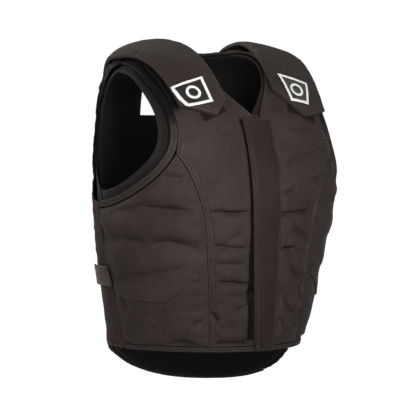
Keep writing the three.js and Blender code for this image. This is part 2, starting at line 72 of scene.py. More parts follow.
def addCamera(view):
    azimuth, elevation = math.radians(view["azimuth"]), math.radians(view["elevation"])
    back = Vector((math.sin(azimuth) * math.cos(elevation), -math.cos(azimuth) * math.cos(elevation),
                   math.sin(elevation)))
    deselectAll()
    bpy.ops.object.camera_add()
    camera = bpy.context.object
    camera.location = Vector((0, 0, view["aimZ"] * mm)) + back * view["distance"]
    camera.rotation_euler = back.to_track_quat("Z", "Y").to_euler()
    seen = view["mmPerPixel"] * view["pixels"] * mm
    camera.data.lens = camera.data.sensor_width * view["distance"] / seen
    scene.camera = camera


addCamera(photoView)


# Reading and writing meshes
def readVectors(items, name):
    values = np.empty(len(items) * 3, np.float32)
    items.foreach_get(name, values)
    return values.reshape(-1, 3).astype(float)


def readPoints(mesh):
    return readVectors(mesh.vertices, "co")


def writePoints(mesh, points):
    mesh.vertices.foreach_set("co", points.astype(np.float32).ravel())
    mesh.update()


def readMark(mesh, name):
    values = np.empty(len(mesh.vertices), np.float32)
    mesh.attributes[name].data.foreach_get("value", values)
    return values.astype(float)


def writeMark(mesh, name, values):
    mark = mesh.attributes.get(name) or mesh.attributes.new(name, "FLOAT", "POINT")
    mark.data.foreach_set("value", values.astype(np.float32))


def activate(piece):
    deselectAll()
    piece.select_set(True)
    bpy.context.view_layer.objects.active = piece


def emptyPiece(name):
    piece = bpy.data.objects.new(name, bpy.data.meshes.new(name))
    scene.collection.objects.link(piece)
    return piece


def smoothStep(values, low, high):
    t = np.clip((values - low) / (high - low), 0, 1)
    return t * t * (3 - 2 * t)


def treeOf(points):
    tree = KDTree(len(points))
    for index, point in enumerate(points):
        tree.insert(point, index)
    tree.balance()
    return tree


def nearestOn(line, points):  # index and distance of the nearest point of a line
    tree = treeOf(line)
    found = [tree.find(point) for point in points]
    return [hit[1] for hit in found], np.array([hit[2] for hit in found])


def lengthsAlong(line):  # distance of each point of a line from its start
    return np.concatenate([[0], np.cumsum(np.linalg.norm(np.diff(line, axis=0), axis=1))])


def pointsAt(at, along, line):  # points of a line at given distances from its start
    return np.stack([np.interp(at, along, line[:, i]) for i in range(3)], 1)


# A merged copy of a solid, in quads, with its outer face marked as skin and its seam line as rim
bodyHeart = {"y": 0.01, "top": -0.13}  # a line inside the body, to tell its outside from its inside
wallSpan = 25 * mm  # stretch of a wall over which its facing is judged
mergeReach = 0.02 * mm
steepest = 0.45  # cosine past which a face belongs to the edge of the wall
cornerTurn = math.radians(38)
quadTurn, quadSkew = math.radians(60), math.radians(80)  # limits for two triangles that make a quad
faceKinds = {"outer": 0, "inner": 1, "rim": 2}


def wallFacings(shape):  # which way the wall faces near each triangle
    centres = [face.calc_center_median() for face in shape.faces]
    weights = [face.calc_area() * np.outer(face.normal, face.normal) for face in shape.faces]
    tree = treeOf(centres)
    facings = []
    for centre in centres:
        near = [hit[1] for hit in tree.find_range(centre, wallSpan)]
        facing = Vector(np.linalg.eigh(sum(weights[i] for i in near))[1][:, 2])
        heart = Vector((0, bodyHeart["y"], min(centre.z, bodyHeart["top"])))
        facings.append(facing if facing.dot(centre - heart) > 0 else -facing)
    return facings


def copySolid(node, name):
    shape = bmesh.new()
    shape.from_mesh(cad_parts[node].data)
    bmesh.ops.remove_doubles(shape, verts=shape.verts, dist=mergeReach)
    shape.normal_update()
    for face, facing in zip(shape.faces, wallFacings(shape)):
        across = face.normal.dot(facing)
        kind = "rim" if abs(across) < steepest else ("outer" if across > 0 else "inner")
        face.material_index = faceKinds[kind]
    bmesh.ops.join_triangles(shape, faces=shape.faces, cmp_materials=True, angle_face_threshold=quadTurn,
                             angle_shape_threshold=quadSkew)
    crease = shape.edges.layers.float.new("crease_edge")
    corner = shape.verts.layers.float.new("crease_vert")
    skin = shape.verts.layers.float.new("skin")
    rim = shape.verts.layers.float.new("rim")
    parting = {edge for edge in shape.edges if len({face.material_index for face in edge.link_faces}) > 1}
    for edge in shape.edges:
        onRim = edge.link_faces[0].material_index == faceKinds["rim"]
        if edge in parting or (onRim and edge.calc_face_angle(0) > cornerTurn):
            edge[crease] = 1
    for vert in shape.verts:
        met = {face.material_index for face in vert.link_faces}
        vert[skin] = float(faceKinds["outer"] in met)
        vert[rim] = float(faceKinds["outer"] in met and len(met) > 1)
        ends = [edge.other_vert(vert).co - vert.co for edge in vert.link_edges if edge in parting]
        if len(ends) == 2 and ends[0].angle(-ends[1]) > cornerTurn:
            vert[corner] = 1
    for face in shape.faces:
        face.material_index = 0
    # edges straight across a narrow piece are halved, so that its seam lines stay apart
    chords = [edge for edge in shape.edges if edge not in parting and all(vert[rim] for vert in edge.verts)]
    halved = bmesh.ops.subdivide_edges(shape, edges=chords, cuts=1, use_grid_fill=True)
    for part in halved["geom_inner"]:
        if isinstance(part, bmesh.types.BMVert):
            part[rim] = 0
            part[corner] = 0
    piece = emptyPiece(name)
    shape.to_mesh(piece.data)
    shape.free()
    return piece


def subdivide(piece, levels, crisp=True):
    activate(piece)
    if not crisp:
        piece.data.attributes.remove(piece.data.attributes["crease_edge"])
    modifier = piece.modifiers.new("finer", "SUBSURF")
    modifier.levels = modifier.render_levels = levels
    bpy.ops.object.modifier_apply(modifier=modifier.name)


# Cloth blown up a little over its padding, held at its seams and its inner face
def puff(piece, pad):
    mesh = piece.data
    before = readPoints(mesh)
    held = (readMark(mesh, "skin") < whole) | (readMark(mesh, "rim") > whole)
    pins = piece.vertex_groups.new(name="pins")
    pins.add([int(i) for i in np.flatnonzero(held)], 1, "REPLACE")
    modifier = piece.modifiers.new("stuffing", "CLOTH")
    cloth = modifier.settings
    cloth.quality = 5
    cloth.vertex_group_mass = pins.name
    cloth.use_pressure = True
    cloth.uniform_pressure_force = pad["pressure"]
    cloth.shrink_min = -pad["spareCloth"]
    cloth.effector_weights.gravity = 0
    for step in range(1, pad["frames"] + 1):
        scene.frame_set(step)
    blown = readPoints(piece.evaluated_get(bpy.context.evaluated_depsgraph_get()).data)
    move = blown - before
    length = np.linalg.norm(move, axis=1, keepdims=True)
    move *= np.minimum(1, pad["cap"] * mm / np.maximum(length, 1e-9))
    piece.modifiers.remove(modifier)
    piece.vertex_groups.remove(pins)
    writePoints(mesh, before + move)
    scene.frame_set(1)


# The seam line round the outer face, as ordered points
def rimLoop(mesh):
    rim = readMark(mesh, "rim") > whole
    links = {}
    for edge in mesh.edges:
        a, b = edge.vertices
        if rim[a] and rim[b]:
            links.setdefault(a, []).append(b)
            links.setdefault(b, []).append(a)
    longest, seen = [], set()
    for first in sorted(links):
        loop, onward = [], [first]
        while onward:
            loop.append(onward[0])
            seen.add(onward[0])
            onward = [vert for vert in links[onward[0]] if vert not in seen]
        longest = max(longest, loop, key=len)
    return readPoints(mesh)[longest]


def spaceLoop(loop, pitch):  # even steps round a closed line
    closed = np.vstack([loop, loop[:1]])
    along = lengthsAlong(closed)
    count = int(along[-1] / pitch)
    at = np.arange(count) * along[-1] / count
    return pointsAt(at, along, closed), at


def skinTree(piece):  # the outer face alone, for laying things on it
    mesh = piece.data
    skin = readMark(mesh, "skin") > whole
    faces = [tuple(face.vertices) for face in mesh.polygons if all(skin[vert] for vert in face.vertices)]
    return BVHTree.FromPolygons([tuple(point) for point in readPoints(mesh)], faces)


outsideProbe = 5 * mm  # a step this long off the seam line tells the way out of the piece


def rimFrames(piece, pitch):  # places round the seam line: points, runs and the ways out of the piece
    points, along = spaceLoop(rimLoop(piece.data), pitch)
    tree = skinTree(piece)
    runs = np.roll(points, -1, 0) - np.roll(points, 1, 0)
    runs /= np.linalg.norm(runs, axis=1, keepdims=True)
    facings = np.array([tree.find_nearest(Vector(point))[1] for point in points])
    outward = np.cross(facings, runs)
    lost = [sum(tree.find_nearest(Vector(spot))[3] for spot in points + outward * way * outsideProbe)
            for way in (1, -1)]
    return points, along, runs, outward * (1 if lost[0] > lost[1] else -1), tree


# Folds as dense lines on the skin
foldCurve = {"stepsPerPoint": 12, "blurSteps": 11, "fewest": 4}


def foldLines(tree, folds):
    blur = np.hanning(foldCurve["blurSteps"])
    blur /= blur.sum()
    lines = []
    for fold in folds:
        turns, heights = np.array(fold["line"], float).T
        steps = np.linspace(0, len(turns) - 1, foldCurve["stepsPerPoint"] * len(turns))
        dense = [np.interp(steps, range(len(turns)), row) for row in (turns, heights)]
        smooth = [np.convolve(np.pad(row, len(blur) // 2, "edge"), blur, "valid") for row in dense]
        spots = []
        for turn, height in zip(np.radians(smooth[0]), smooth[1]):
            ray = Vector((math.sin(turn), -math.cos(turn), 0))
            spots.append(tree.ray_cast(Vector((0, 0, height * mm)), ray)[0])
        spots = np.array([spot for spot in spots if spot is not None])
        if len(spots) > foldCurve["fewest"]:
            along = lengthsAlong(spots)
            at = np.linspace(0, along[-1], int(along[-1] / mm) + foldCurve["fewest"])
            lines.append((fold, pointsAt(at, along, spots), at / at[-1]))
    return lines


def refine(piece, wanted):  # quarters the faces of the outer face that are wanted
    shape = bmesh.new()
    shape.from_mesh(piece.data)
    skin = shape.verts.layers.float["skin"]
    edges = set()
    for face in shape.faces:
        if all(vert[skin] > whole for vert in face.verts) and wanted(face.calc_center_median()):
            edges.update(face.edges)
    bmesh.ops.subdivide_edges(shape, edges=list(edges), cuts=1, use_grid_fill=True)
    shape.to_mesh(piece.data)
    shape.free()


# How far folds press the cloth in or let it bulge, and how far the lip above each one droops
# Bands are the upper lip, the lower lip and the drooping cloth: height and breadth in widths of the fold
foldShape = {"reach": 45, "widen": 1.25, "endFade": 0.25, "edge": 7, "sharpness": 1.6, "swell": 1.9,
             "deepest": 6, "bulge": 0.35, "lowerShare": 0.8, "droop": 0.35,
             "bands": ((2.6, 1.6), (-3.2, 2.2), (1.5, 1.3))}


def foldLift(points, away, lines):
    shape = foldShape
    lift, droop = np.zeros(len(points)), np.zeros(len(points))
    for fold, line, share in lines:
        low, high = line.min(0) - shape["reach"] * mm, line.max(0) + shape["reach"] * mm
        near = np.flatnonzero(((points > low) & (points < high)).all(1))
        closest, apart = nearestOn(line, points[near])
        below = np.sign(line[closest, 2] - points[near, 2])
        apart = apart * below / (shape["widen"] * fold["width"] * mm)
        fade = smoothStep(np.minimum(share[closest], 1 - share[closest]), 0, shape["endFade"])
        fade *= smoothStep(away[near], 1, fold.get("edge", shape["edge"]))
        valley = -np.exp(-np.abs(apart) ** shape["sharpness"])
        if fold.get("ledge"):  # the cloth stays down below the fold
            valley[apart > 0] = -1
        upper, lower, slack = (np.exp(-((apart + above) / breadth) ** 2) for above, breadth in shape["bands"])
        size = min(shape["swell"] * fold["depth"], shape["deepest"]) * mm * fade
        lips = upper + shape["lowerShare"] * lower
        lift[near] += size * (valley + fold.get("bulge", shape["bulge"]) * lips)
        droop[near] += fold.get("droop", shape["droop"]) * size * slack
    return lift, droop


# Seam grooves, puckers, folds and small wrinkles on the outer face, in millimetres from the seam line
# A look gives a groove's depth and width, a pucker's height, pitch and reach, a wrinkle's height and size
seam = {"pitch": 0.5, "wrinkleFade": 12, "sewnDown": 2.5, "skinSpread": 3, "innerSpread": 8, "edgeMark": 20}
everywhere = (8, 9)  # heights in metres, above all pieces
wrinkleLayers = (0.7, 2.1, 3)  # evenness, step in size and number of the layers of wrinkles


def dress(piece, look, folds=()):
    mesh = piece.data
    rimPoints, along, _, outward, skinFaces = rimFrames(piece, seam["pitch"] * mm)
    lines = foldLines(skinFaces, folds)
    if lines:
        foldTree = treeOf(np.vstack([line for _, line, _ in lines]))
        for reach in look["fineReach"]:
            refine(piece, lambda spot: foldTree.find(spot)[2] < reach * mm)
    points, normals = readPoints(mesh), readVectors(mesh.vertex_normals, "vector")
    skin = readMark(mesh, "skin")
    nearest, away = nearestOn(rimPoints, points)
    away = away / mm
    lift = np.zeros(len(points))
    for row in look["rows"]:
        depth, width = look["groove"]
        lift -= depth * np.exp(-((away - row) / width) ** 2)
    height, pitch, reach = look["pucker"]
    pucker = np.array([noise.noise((step, look["seed"], 0)) for step in along[nearest] / mm / pitch])
    lift += height * pucker * np.exp(-(away / reach) ** 2)
    height, size = look["wrinkle"]
    wrinkle = np.array([noise.fractal(Vector(point), *wrinkleLayers) for point in points / (size * mm)])
    lift += height * wrinkle * smoothStep(away, 0, seam["wrinkleFade"])
    folded, droop = foldLift(points, away, lines)
    move = normals * ((lift * mm * smoothStep(away, 0, seam["sewnDown"]) + folded) * skin)[:, None]
    move[:, 2] -= droop * skin
    reach = np.where(skin > whole, seam["skinSpread"], seam["innerSpread"])
    spread = look.get("spread", 0) * (1 - smoothStep(points[:, 2], *look.get("spreadBelow", everywhere)))
    move += outward[nearest] * (spread * mm * np.exp(-(away / reach) ** 2))[:, None]
    writePoints(mesh, points + move)
    writeMark(mesh, "edge", np.where(skin > whole, np.clip(away / seam["edgeMark"], 0, 1), 1))
    # black binding, and black painted as shade in hollows, where the look asks for it
    if "tape" in look:
        writeMark(mesh, "tape", look["tape"](points / mm, away))


# Thread directions as UV in metres: round the body and down it, or across a strap and along it
strapArc = {"y": 0.02, "z": -0.12}  # the line that the straps curve round
frontEnd = 0.02  # a piece whose middle lies in front of this is mapped from the front


def mapWeave(piece, overShoulder=False):
    mesh = piece.data
    x, y, z = readPoints(mesh).T
    if overShoulder:
        back, up = y - strapArc["y"], z - strapArc["z"]
        uv = np.stack([x, np.arctan2(back, up) * np.hypot(back, up).mean()], 1)
    else:
        turn = np.arctan2(x, -y) if y.mean() < frontEnd else np.arctan2(x, y)
        uv = np.stack([turn * np.hypot(x, y).mean(), z], 1)
    layer = mesh.uv_layers.get("weave") or mesh.uv_layers.new(name="weave")
    corners = np.empty(len(mesh.loops), np.int32)
    mesh.loops.foreach_get("vertex_index", corners)
    layer.data.foreach_set("uv", uv[corners].astype(np.float32).ravel())


# Lays a thin piece on a skin, with its two faces at given heights
def layOn(piece, tree, low, high):
    mesh = piece.data
    points, skin = readPoints(mesh), readMark(mesh, "skin")
    heights = (low + (np.broadcast_to(high, len(points)) - low) * skin) * mm
    for index, point in enumerate(points):
        spot, normal, _, _ = tree.find_nearest(Vector(point))
        points[index] = spot + normal * heights[index]
    writePoints(mesh, points)


smoothTurn = math.radians(50)  # edges that turn more than this stay crisp


def place(piece, material, slot, *nodes):  # every piece ends here
    activate(piece)
    bpy.ops.object.shade_smooth_by_angle(angle=smoothTurn)
    piece.data.materials.append(material)
    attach(piece, "root")
    if nodes:
        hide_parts(*nodes)


# Stitches in millimetres; tip and stand are shares of the radius, straight is a share of the length
thread = {"pitch": 5.6, "length": 3.9, "radius": 0.5, "sides": 5, "tip": 0.4, "straight": 0.6, "stand": 0.35}
rowClear = 0.6  # share of its inset that a stitch has to keep from the seam line


def insetRow(piece, inset, keep=None):  # stitch places along a seam line, a distance inside it
    points, _, runs, outward, tree = rimFrames(piece, thread["pitch"] * mm)
    rimTree = treeOf(points)
    row = []
    for point, run, out in zip(points, runs, outward):
        spot, normal, _, _ = tree.find_nearest(Vector(point - out * inset * mm))
        if rimTree.find(spot)[2] > rowClear * inset * mm and (keep is None or keep(spot)):
            row.append((spot, normal, Vector(run)))
    return row


def seamRows(piece, look, keep=None):  # all rows of a piece
    return [insetRow(piece, inset, keep) for inset in look["rows"]]


def sewStitches(name, rows, slot):
    half, radius, count = thread["length"] / 2 * mm, thread["radius"] * mm, thread["sides"]
    straight = half * thread["straight"]
    rings = [(-half, thread["tip"]), (-straight, 1), (straight, 1), (half, thread["tip"])]
    turns = [2 * math.pi * step / count for step in range(count)]
    base = np.array([(x, radius * share * math.cos(turn), radius * share * math.sin(turn))
                     for x, share in rings for turn in turns])
    pattern = []
    for ring in range(len(rings) - 1):
        for step in range(count):
            a, b = ring * count + step, ring * count + (step + 1) % count
            pattern.append((a, b, b + count, a + count))
    pattern.append(tuple(range(count))[::-1])
    pattern.append(tuple(range((len(rings) - 1) * count, len(rings) * count)))
    verts, faces = [], []
    for spot, normal, run in (stitch for row in rows for stitch in row):
        run = (run - normal * run.dot(normal)).normalized()
        axes = np.array([run, normal.cross(run), normal])
        start = len(verts) * len(base)
        verts.append(base @ axes + np.array(spot + normal * radius * thread["stand"]))
        faces += [tuple(index + start for index in face) for face in pattern]
    piece = emptyPiece(name)
    piece.data.from_pydata(np.vstack(verts).tolist(), [], faces)
    activate(piece)
    faceOutwards()
    place(piece, sewingThread, slot)
    print(name, len(verts), "stitches")


def faceOutwards():  # turns all faces of the active piece outwards
    bpy.ops.object.mode_set(mode="EDIT")
    bpy.ops.mesh.select_all(action="SELECT")
    bpy.ops.mesh.normals_make_consistent(inside=False)
    bpy.ops.object.mode_set(mode="OBJECT")


# Materials
def hexColor(code):  # sRGB hex to the linear colour of a shader
    channels = [int(code[i:i + 2], 16) / 255 for i in (1, 3, 5)]
    linear = [c / 12.92 if c <= 0.04045 else ((c + 0.055) / 1.055) ** 2.4 for c in channels]
    return (*linear, 1)


def addNode(tree, kind, settings=None, links=None):
    node = tree.nodes.new(kind)
    for key, value in (settings or {}).items():
        if isinstance(key, int) or key in node.inputs:
            node.inputs[key].default_value = value
        else:
            setattr(node, key, value)
    for key, (source, output) in (links or {}).items():
        tree.links.new(source.outputs[output], node.inputs[key])
    return node


def startNodes(owner):  # empties the nodes of a material or the world, and gives what adds to them
    owner.use_nodes = True
    owner.node_tree.nodes.clear()
    return partial(addNode, owner.node_tree)


def waveScale(spacing):  # scale of a wave texture for a spacing in millimetres
    return 2 * math.pi / 20 / (spacing * mm)


def noiseScale(size):  # scale of a noise texture for a blotch size in millimetres
    return 1 / (size * mm)


bindingAndShadeBlack = "#050404"  # black of the binding round the back armholes, and of the shade painted in hollows at the shoulder and beside the flap, where a piece carries the mark for it
grainLook = {"slub": 2.2, "streak": 2, "bump": 0.5,  # sizes and depth in millimetres
             "streakShare": 0.45, "slubShare": 0.35, "toneRange": (0.32, 0.68), "rubbedTo": 0.12}


# Woven cloth: two sets of threads that cross, a soft blotchy dye, paler rubbed edges, black binding and
# painted black shade where marked, and a painted glow where asked
# A look gives dark, light and worn colours, and a weave: spacing in millimetres, weft share and shading
def wovenCloth(name, look):
    material = bpy.data.materials.new(name)
    add = startNodes(material)
    dark, light, wornColour = (hexColor(code) for code in look["colours"])
    spacing, weftShare, shading = look["weave"]
    weave = add("ShaderNodeUVMap", {"uv_map": "weave"})
    space = add("ShaderNodeTexCoord")
    warp, weft = (add("ShaderNodeTexWave", {"bands_direction": way, "Scale": waveScale(spacing),
                                            "Distortion": 0.6, "Detail": 1.0, "Detail Scale": 0.6},
                      {"Vector": (weave, "UV")}) for way in "XY")
    threads = add("ShaderNodeMix", {"data_type": "FLOAT", 0: weftShare}, {2: (warp, "Fac"), 3: (weft, "Fac")})
    drawn = add("ShaderNodeMapping", {"Scale": look["drawn"]}, {"Vector": (weave, "UV")})
    blotch, slub, streak = (
        add("ShaderNodeTexNoise", {"Scale": noiseScale(size), "Detail": detail, "Roughness": roughness},
            {"Vector": source}) for size, detail, roughness, source in (
            (look["blotch"], 3.0, 0.6, (space, "Object")), (grainLook["slub"], 2.0, 0.7, (space, "Object")),
            (grainLook["streak"], 2.0, 0.65, (drawn, "Vector"))))
    tone = add("ShaderNodeMix", {"data_type": "FLOAT", 0: grainLook["streakShare"]},
               {2: (blotch, "Fac"), 3: (streak, "Fac")})
    low, high = grainLook["toneRange"]
    toneSpread = add("ShaderNodeMapRange", {"From Min": low, "From Max": high}, {"Value": (tone, 0)})
    dyed = add("ShaderNodeMix", {"data_type": "RGBA", 6: dark, 7: light}, {0: (toneSpread, "Result")})
    shade = add("ShaderNodeMapRange", {"To Min": 1 - shading, "To Max": 1 + shading}, {"Value": (threads, 0)})
    threaded = add("ShaderNodeMix", {"data_type": "RGBA", "blend_type": "MULTIPLY", 0: 1.0},
                   {6: (dyed, 2), 7: (shade, "Result")})
    edge = add("ShaderNodeAttribute", {"attribute_name": "edge"})
    rubbed = add("ShaderNodeMapRange",
                 {"From Max": grainLook["rubbedTo"], "To Min": look["rubbing"], "To Max": 0.0},
                 {"Value": (edge, "Fac")})
    worn = add("ShaderNodeMix", {"data_type": "RGBA", 7: wornColour},
               {0: (rubbed, "Result"), 6: (threaded, 2)})
    # black binding, and black painted as shade in hollows, from the piece's mark
    tape = add("ShaderNodeAttribute", {"attribute_name": "tape"})
    blackened = add("ShaderNodeMix", {"data_type": "RGBA", 7: hexColor(bindingAndShadeBlack)},
                {0: (tape, "Fac"), 6: (worn, 2)})
    rough = add("ShaderNodeMapRange", {"To Min": look["rough"][0], "To Max": look["rough"][1]},
                {"Value": (slub, "Fac")})
    grain = add("ShaderNodeMix", {"data_type": "FLOAT", 0: grainLook["slubShare"]},
                {2: (threads, 0), 3: (slub, "Fac")})
    bump = add("ShaderNodeBump", {"Strength": look["bump"], "Distance": grainLook["bump"] * mm},
               {"Height": (grain, 0)})
    # the emission is a painted glow, which only the label asks for
    shader = add("ShaderNodeBsdfPrincipled",
                 {"Emission Color": hexColor("#f2f4ff"), "Emission Strength": look.get("paintedGlow", 0),
                  "IOR": 1.5, "Specular IOR Level": look["specular"], "Sheen Weight": look["sheen"],
                  "Sheen Roughness": 0.45, "Sheen Tint": hexColor(look["sheenTint"])},
                 {"Base Color": (blackened, 2), "Roughness": (rough, "Result"), "Normal": (bump, "Normal")})
    add("ShaderNodeOutputMaterial", None, {"Surface": (shader, "BSDF")})
    return material


# The real threads stand 0.7 mm apart, which the render can't show, so they are drawn at 1.6 to 3 mm
upright, level = (1, 0.07, 1), (0.07, 1, 1)  # streaks run with the warp or with the weft
brownCloth = {"specular": 0.1, "sheen": 0.02, "sheenTint": "#a08c82", "drawn": upright}
blackCloth = {**brownCloth, "sheenTint": "#6e6660"}
# Nylon pack cloth, piece-dyed dark brown: matt, with a faint upright grain and a soft sheen on the folds
shellNylon = wovenCloth("pack_cloth_nylon", {
    **brownCloth, "colours": ("#211b18", "#2d2623", "#343130"), "rubbing": 0.12, "blotch": 70,
    "weave": (3.0, 0.3, 0.14), "rough": (0.62, 0.84), "bump": 0.5})
# The same cloth folded double for edges: a little denser and darker
edgeNylon = wovenCloth("folded_edge_nylon", {
    **brownCloth, "colours": ("#1c1715", "#27211f", "#312e2d"), "rubbing": 0.15, "blotch": 40,
    "weave": (2.0, 0.5, 0.09), "rough": (0.6, 0.8), "bump": 0.35})
# Smooth taffeta nylon of the front flap: browner, with fine upright threads
flapNylon = wovenCloth("flap_taffeta_nylon", {
    **brownCloth, "colours": ("#18110f", "#211a16", "#27221e"), "rubbing": 0.2, "blotch": 60,
    "weave": (1.8, 0.15, 0.08), "rough": (0.55, 0.75), "bump": 0.3, "specular": 0.12})
# Knitted stretch cloth: upright ribs, matt
gussetKnit = wovenCloth("rib_stretch_knit", {
    **brownCloth, "colours": ("#211916", "#2b221e", "#302b27"), "rubbing": 0.15, "blotch": 30,
    "weave": (2.6, 0.15, 0.14), "rough": (0.7, 0.88), "bump": 0.6, "specular": 0.08, "sheenTint": "#a89a92"})
# Woven nylon webbing: coarse cross ribs, paler and glossier than the cloth
webbingNylon = wovenCloth("flat_nylon_webbing", {
    **brownCloth, "colours": ("#221711", "#30221b", "#40352f"), "rubbing": 0.4, "blotch": 20,
    "weave": (2.4, 0.7, 0.15), "rough": (0.45, 0.65), "bump": 0.6,
    "specular": 0.22, "sheenTint": "#b8aca4", "drawn": level})
# Brushed tricot lining over foam: black, dull, with a fine knit and a piped rim
linerTricot = wovenCloth("black_tricot_lining", {
    **blackCloth, "colours": ("#090807", "#0f0e0c", "#15110f"), "rubbing": 0.9, "blotch": 40,
    "weave": (2.4, 0.5, 0.12), "rough": (0.75, 0.9), "bump": 0.3, "specular": 0.15, "sheen": 0.04})
# Loop side of a hook-and-loop tape: black, fuzzy, no gloss
loopPile = wovenCloth("loop_pile_tape", {
    **blackCloth, "colours": ("#070706", "#12100e", "#1c1816"), "rubbing": 0.3, "blotch": 6,
    "weave": (1.7, 0.5, 0.25), "rough": (0.85, 0.97), "bump": 0.9, "sheen": 0.2, "drawn": (1, 1, 1)})
# Woven satin label: white, smooth, faint lengthwise threads, with a painted glow that keeps it bright in the
# shade inside the back
labelSatin = wovenCloth("white_satin_label", {
    "colours": ("#e6e2de", "#f6f3f0", "#ffffff"), "rubbing": 0.3, "blotch": 25,
    "weave": (1.6, 0.1, 0.03), "rough": (0.35, 0.5), "bump": 0.15,
    "specular": 0.5, "sheen": 0.05, "sheenTint": "#ffffff", "drawn": upright, "paintedGlow": 0.85})
# Zip tape: black herringbone twill
zipTwill = wovenCloth("zip_twill_tape", {
    **blackCloth, "colours": ("#0b0909", "#161311", "#1d1a17"), "rubbing": 0.3, "blotch": 15,
    "weave": (1.6, 0.5, 0.15), "rough": (0.6, 0.8), "bump": 0.5, "specular": 0.3, "sheen": 0.05})


# Moulded rubber: even colour, fine grit from the mould, satin gloss
rubberGrain = {"noises": ((0.9, 2.0), (14, 3.0)), "bump": 0.2}  # grit and stain: size in millimetres, detail


def mouldedRubber(name, dark, light, roughness):
    material = bpy.data.materials.new(name)
    add = startNodes(material)
    space = add("ShaderNodeTexCoord")
    grit, stain = (add("ShaderNodeTexNoise", {"Scale": noiseScale(size), "Detail": detail},
                       {"Vector": (space, "Object")}) for size, detail in rubberGrain["noises"])
    tone = add("ShaderNodeMix", {"data_type": "RGBA", 6: hexColor(dark), 7: hexColor(light)},
               {0: (stain, "Fac")})
    rough = add("ShaderNodeMapRange", {"To Min": roughness[0], "To Max": roughness[1]},
                {"Value": (grit, "Fac")})
    bump = add("ShaderNodeBump", {"Strength": 0.2, "Distance": rubberGrain["bump"] * mm},
               {"Height": (grit, "Fac")})
    shader = add("ShaderNodeBsdfPrincipled", {"IOR": 1.5, "Specular IOR Level": 0.4},
                 {"Base Color": (tone, 2), "Roughness": (rough, "Result"), "Normal": (bump, "Normal")})
    add("ShaderNodeOutputMaterial", None, {"Surface": (shader, "BSDF")})
    return material


badgeWhite = mouldedRubber("white_moulded_rubber", "#b4b1ae", "#c4c1be", (0.4, 0.55))
badgeBlack = mouldedRubber("black_moulded_rubber", "#0d0c0b", "#161413", (0.45, 0.6))
# Bonded polyester sewing thread: dark brown, slightly glossy, so that the rows catch the light
sewingThread = mouldedRubber("polyester_sewing_thread", "#241f1c", "#332c28", (0.45, 0.6))
print("materials made:", len(bpy.data.materials))


# Black binding at the edges of brown pieces, and painted black shade in the hollows beside the strap at the
# shoulder, in millimetres
bindingAndShadeLimits = {"shoulderHeight": (-110, -98), "shoulderSide": (122, 130), "armholeHeight": (-240, -215),
             "armholeSide": (92, 104), "armholeWidth": (8.5, 9.5), "bandHeight": (-132, -108)}


def shoulderPaintedShade(points, away):  # painted shade: the chest pad is painted black in the hollow outside the strap at the shoulder
    raised = smoothStep(points[:, 2], *bindingAndShadeLimits["shoulderHeight"])
    return raised * smoothStep(np.abs(points[:, 0]), *bindingAndShadeLimits["shoulderSide"])


def armholeFacing(points, away):  # binding round the back of the armhole
    outside = smoothStep(np.abs(points[:, 0]), *bindingAndShadeLimits["armholeSide"])
    outside *= smoothStep(points[:, 2], *bindingAndShadeLimits["armholeHeight"])
    return outside * (1 - smoothStep(away, *bindingAndShadeLimits["armholeWidth"]))


def bandPaintedShade(points, away):  # painted shade: the top of the armhole band is painted black in the hollow beside the strap at the shoulder
    return smoothStep(points[:, 2], *bindingAndShadeLimits["bandHeight"])


# Padded panels
chestPad = {
    "cloth": shellNylon, "slot": "shell_nylon", "fill": 0.7, "pressure": 4, "spareCloth": 0.02, "frames": 20,
    "cap": 2.5, "rows": (1.8, 8.2), "groove": (0.9, 1.4), "pucker": (0.9, 13, 14), "wrinkle": (1.0, 42),
    "seed": 1.3, "fineReach": (9, 4), "spread": 0.3, "tape": shoulderPaintedShade}
slackPad = {**chestPad, "wrinkle": (2.0, 30), "seed": 2.6}  # the left chest is more crumpled
flankPad = {**chestPad, "rows": (2,), "wrinkle": (1.1, 42), "seed": 4.7}
backPad = {**chestPad, "rows": (2, 8), "wrinkle": (0.9, 60), "seed": 8.1, "fineReach": (9,),
           "spread": 1.4, "tape": armholeFacing}


def foldAt(depth, width, *line, **more):  # depth and width of a fold in millimetres, and its points
    return {"depth": depth, "width": width, "line": line, **more}


# Folds, as points of degrees round from the centre front and heights in millimetres
hemHollow = {"bulge": 0.15, "droop": 0.7, "ledge": True, "edge": 2.5}  # the pad sinks to the hem
chestFolds = {
    "right": [
        foldAt(1.2, 4, (-30, -135), (-24, -134), (-15, -136)),
        foldAt(3.2, 3, (-35, -261), (-30, -256), (-22, -258), (-14, -257), (-9, -260)),
        foldAt(1.8, 5, (-33, -310), (-27, -306), (-20, -296), (-13, -288)),
        foldAt(2.2, 3.4, (-32, -311), (-23, -311), (-10, -314)),
        foldAt(2, 5, (-32, -337), (-23, -336), (-12, -339)),
        foldAt(3, 3.2, (-31, -364), (-21, -363), (-9, -369)),
        foldAt(2.4, 4, (-34, -408), (-28, -425)),
        foldAt(2, 4, (-19, -410), (-11, -397)),
        foldAt(3.2, 11, (-40, -457), (-27, -460), (-8, -461), **hemHollow),
    ],
    "left": [
        foldAt(1.4, 4, (19, -129), (36, -126)),
        foldAt(1.8, 4, (10, -190), (27, -170), (40, -163)),
        foldAt(2, 3, (10, -230), (19, -224)),
        foldAt(3.2, 3, (8, -262), (21, -258), (31, -258)),
        foldAt(2.4, 4, (29, -212), (41, -203)),
        foldAt(3, 3, (8, -315), (21, -313)),
        foldAt(2.8, 4.5, (15, -280), (33, -308)),
        foldAt(2.8, 4.5, (14, -339), (32, -375)),
        foldAt(2.8, 4, (13, -388), (23, -426)),
        foldAt(2.4, 4, (20, -362), (30, -402)),
        foldAt(2.4, 4, (9, -418), (17, -448)),
        foldAt(2, 4, (25, -445), (31, -414)),
        foldAt(2.2, 5, (11, -455), (26, -430)),
    ],
}
